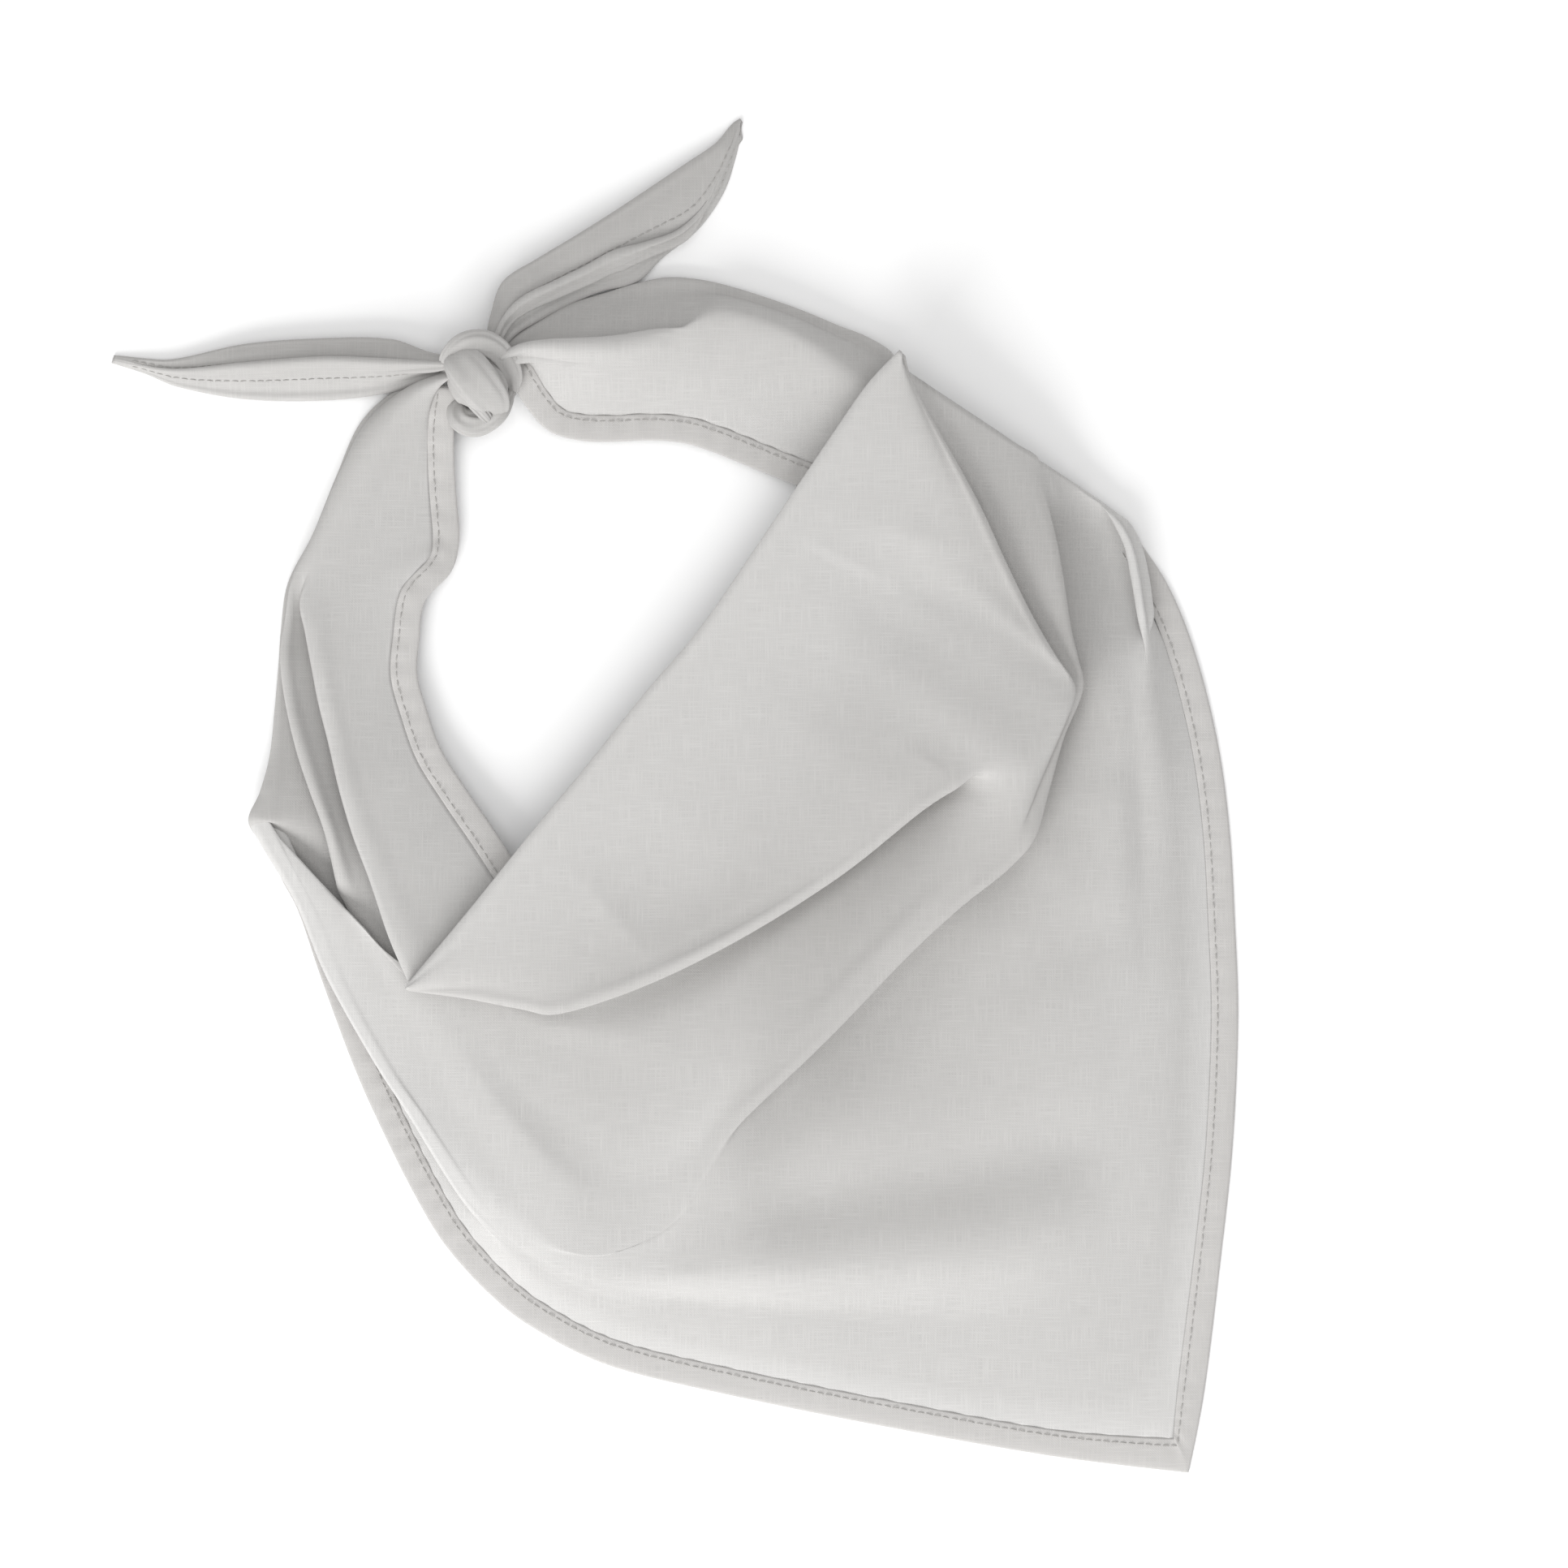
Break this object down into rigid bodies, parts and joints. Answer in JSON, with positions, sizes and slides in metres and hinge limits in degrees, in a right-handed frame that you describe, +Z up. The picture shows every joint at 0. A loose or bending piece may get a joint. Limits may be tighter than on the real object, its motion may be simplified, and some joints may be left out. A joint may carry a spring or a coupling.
{
  "type": "neckerchief",
  "caption": "Triangular cotton neckerchief tied in a small knot and laid flat, its front folded in soft swags, with stitched hems and an open neck.",
  "frame": {"origin": "centre of the laid cloth's bounding box at the level of the table", "axes": "+X to the right of the laid cloth, +Y towards its knot, +Z up from the table"},
  "size_m": [0.383, 0.4604, 0.0344],
  "materials": {
    "cloth": "matte plain weave",
    "hem": "matte plain weave, folded double and stitched"
  },
  "bodies": {
    "root": {"drape": "cloth", "hem": "hem", "band_left": "cloth", "hem_neck_left": "hem", "band_right": "cloth", "hem_neck_right": "hem", "knot": "cloth", "tail_left": "cloth", "tail_right": "cloth"}
  },
  "joints": []
}
